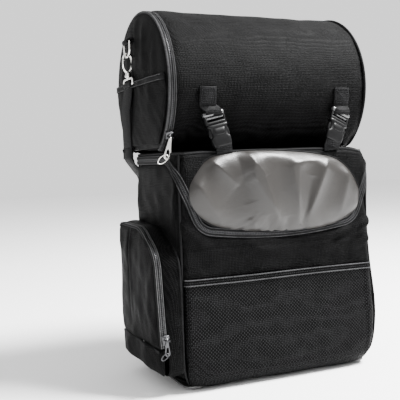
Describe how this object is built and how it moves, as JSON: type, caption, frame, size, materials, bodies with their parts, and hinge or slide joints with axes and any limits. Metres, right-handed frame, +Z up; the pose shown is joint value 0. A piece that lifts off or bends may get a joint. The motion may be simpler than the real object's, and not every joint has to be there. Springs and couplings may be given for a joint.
{
  "type": "tail bag",
  "caption": "Upright motorcycle tail bag with padded zipped lid, side and front pockets, and a barrel roll bag buckled on top.",
  "frame": {"origin": "on the floor, under the middle of the main bag's base", "axes": "+Z up, -Y towards the padded front, +X to the right seen from the front"},
  "size_m": [0.3741, 0.2541, 0.548],
  "materials": {
    "ballistic_fabric": "woven black polyester",
    "mesh_fabric": "coarse diamond weave, black",
    "padded_vinyl": "satin grey-brown vinyl, gathered",
    "webbing": "ribbed black webbing",
    "binding": "grey grosgrain",
    "zip_tape": "black tape with moulded teeth",
    "stiffener": "plain board",
    "buckle_plastic": "gloss black",
    "bright_metal": "polished, slightly brushed"
  },
  "bodies": {
    "main_bag": {"main_front": "ballistic_fabric", "main_back": "ballistic_fabric", "main_side_left": "ballistic_fabric", "main_side_right": "ballistic_fabric", "main_base": "ballistic_fabric", "base_board": "stiffener", "back_board": "stiffener", "main_zip_lower": "zip_tape", "front_pocket": "mesh_fabric", "front_pocket_binding": "binding", "sissy_bar_sleeve": "ballistic_fabric", "pocket_gusset_left": "ballistic_fabric", "pocket_gusset_right": "ballistic_fabric", "pocket_zip_inner_left": "zip_tape", "pocket_zip_inner_right": "zip_tape"},
    "lid": {"lid_top": "ballistic_fabric", "lid_board": "stiffener", "lid_flap": "ballistic_fabric", "main_zip_upper": "zip_tape", "lid_pad": "padded_vinyl", "lower_strap_left": "webbing", "lower_strap_right": "webbing", "buckle_socket_left": "buckle_plastic", "buckle_socket_right": "buckle_plastic"},
    "main_slider": {"main_slider": "bright_metal"},
    "main_pull": {"main_pull": "bright_metal"},
    "roll": {"roll_wrap": "ballistic_fabric", "roll_base": "ballistic_fabric", "roll_board": "stiffener", "roll_end_right": "ballistic_fabric", "roll_zip_inner": "zip_tape", "upper_strap_left": "webbing", "upper_strap_right": "webbing", "buckle_plug_left": "buckle_plastic", "buckle_plug_right": "buckle_plastic", "ring_tab_right": "webbing", "hook_eye_right": "bright_metal", "shoulder_strap": "webbing"},
    "roll_door": {"roll_end_left": "ballistic_fabric", "roll_zip_outer": "zip_tape", "cap_pocket": "ballistic_fabric", "ring_tab_left": "webbing", "hook_eye_left": "bright_metal", "strap_tail_left": "webbing"},
    "roll_slider": {"roll_slider": "bright_metal"},
    "roll_pull": {"roll_pull": "bright_metal"},
    "ring_left": {"ring_left": "bright_metal"},
    "hook_left": {"hook_left": "bright_metal"},
    "hook_gate_left": {"hook_gate_left": "bright_metal"},
    "pocket_door_left": {"pocket_face_left": "ballistic_fabric", "pocket_zip_outer_left": "zip_tape"},
    "pocket_slider_left": {"pocket_slider_left": "bright_metal"},
    "pocket_pull_left": {"pocket_pull_left": "bright_metal"},
    "ring_right": {"ring_right": "bright_metal"},
    "hook_right": {"hook_right": "bright_metal"},
    "hook_gate_right": {"hook_gate_right": "bright_metal"},
    "pocket_door_right": {"pocket_face_right": "ballistic_fabric", "pocket_zip_outer_right": "zip_tape"},
    "pocket_slider_right": {"pocket_slider_right": "bright_metal"},
    "pocket_pull_right": {"pocket_pull_right": "bright_metal"}
  },
  "joints": [
    {"name": "lid_hinge", "type": "hinge", "parent": "main_bag", "child": "lid", "pos_m": [0, 0.0875, 0.334], "axis": [-1, 0, 0], "range_deg": [0, 90], "deforming": ["shoulder_strap"]},
    {"name": "roll_lift", "type": "slide", "parent": "lid", "child": "roll", "axis": [0, 0, 1], "range_m": [0, 0.3]},
    {"name": "roll_door_hinge", "type": "hinge", "parent": "roll", "child": "roll_door", "pos_m": [-0.1635, 0.035, 0.343], "axis": [0, -1, 0], "range_deg": [0, 100]},
    {"name": "main_slider_travel", "type": "slide", "parent": "main_bag", "child": "main_slider", "axis": [0, -1, 0], "range_m": [0, 0.125]},
    {"name": "main_pull_hinge", "type": "hinge", "parent": "main_slider", "child": "main_pull", "pos_m": [0.1675, 0.062, 0.326], "axis": [0, -1, 0], "range_deg": [0, 110]},
    {"name": "roll_slider_travel", "type": "hinge", "parent": "roll", "child": "roll_slider", "pos_m": [-0.1565, 0.035, 0.433], "axis": [-1, 0, 0], "range_deg": [0, 250]},
    {"name": "roll_pull_hinge", "type": "hinge", "parent": "roll_slider", "child": "roll_pull", "pos_m": [-0.1565, -0.06232, 0.35697], "axis": [-1, 0, 0], "range_deg": [0, 90]},
    {"name": "ring_left_swing", "type": "hinge", "parent": "roll_door", "child": "ring_left", "pos_m": [-0.1735, 0.064, 0.509], "axis": [0, 1, 0], "range_deg": [-2, 2]},
    {"name": "hook_left_swivel", "type": "hinge", "parent": "roll_door", "child": "hook_left", "pos_m": [-0.1735, 0.064, 0.46], "axis": [0, 0, 1], "range_deg": [-7, 7]},
    {"name": "hook_gate_left_press", "type": "hinge", "parent": "hook_left", "child": "hook_gate_left", "pos_m": [-0.1806, 0.064, 0.469], "axis": [0, 1, 0], "range_deg": [0, 20], "stiffness_Nm_per_rad": 0.02},
    {"name": "pocket_door_left_hinge", "type": "hinge", "parent": "main_bag", "child": "pocket_door_left", "pos_m": [-0.192, 0.086, 0.14], "axis": [0, 0, -1], "range_deg": [0, 100]},
    {"name": "pocket_slider_left_travel", "type": "slide", "parent": "main_bag", "child": "pocket_slider_left", "axis": [0, 0, 1], "range_m": [0, 0.085]},
    {"name": "pocket_pull_left_hinge", "type": "hinge", "parent": "pocket_slider_left", "child": "pocket_pull_left", "pos_m": [-0.186, -0.1009, 0.082], "axis": [-1, 0, 0], "range_deg": [0, 110]},
    {"name": "ring_right_swing", "type": "hinge", "parent": "roll", "child": "ring_right", "pos_m": [0.1735, 0.064, 0.509], "axis": [0, 1, 0], "range_deg": [-2, 2]},
    {"name": "hook_right_swivel", "type": "hinge", "parent": "roll", "child": "hook_right", "pos_m": [0.1735, 0.064, 0.46], "axis": [0, 0, 1], "range_deg": [-7, 7]},
    {"name": "hook_gate_right_press", "type": "hinge", "parent": "hook_right", "child": "hook_gate_right", "pos_m": [0.1806, 0.064, 0.469], "axis": [0, -1, 0], "range_deg": [0, 20], "stiffness_Nm_per_rad": 0.02},
    {"name": "pocket_door_right_hinge", "type": "hinge", "parent": "main_bag", "child": "pocket_door_right", "pos_m": [0.176, 0.086, 0.14], "axis": [0, 0, 1], "range_deg": [0, 100]},
    {"name": "pocket_slider_right_travel", "type": "slide", "parent": "main_bag", "child": "pocket_slider_right", "axis": [0, 0, 1], "range_m": [0, 0.085]},
    {"name": "pocket_pull_right_hinge", "type": "hinge", "parent": "pocket_slider_right", "child": "pocket_pull_right", "pos_m": [0.17, -0.0749, 0.082], "axis": [-1, 0, 0], "range_deg": [0, 110]}
  ]
}
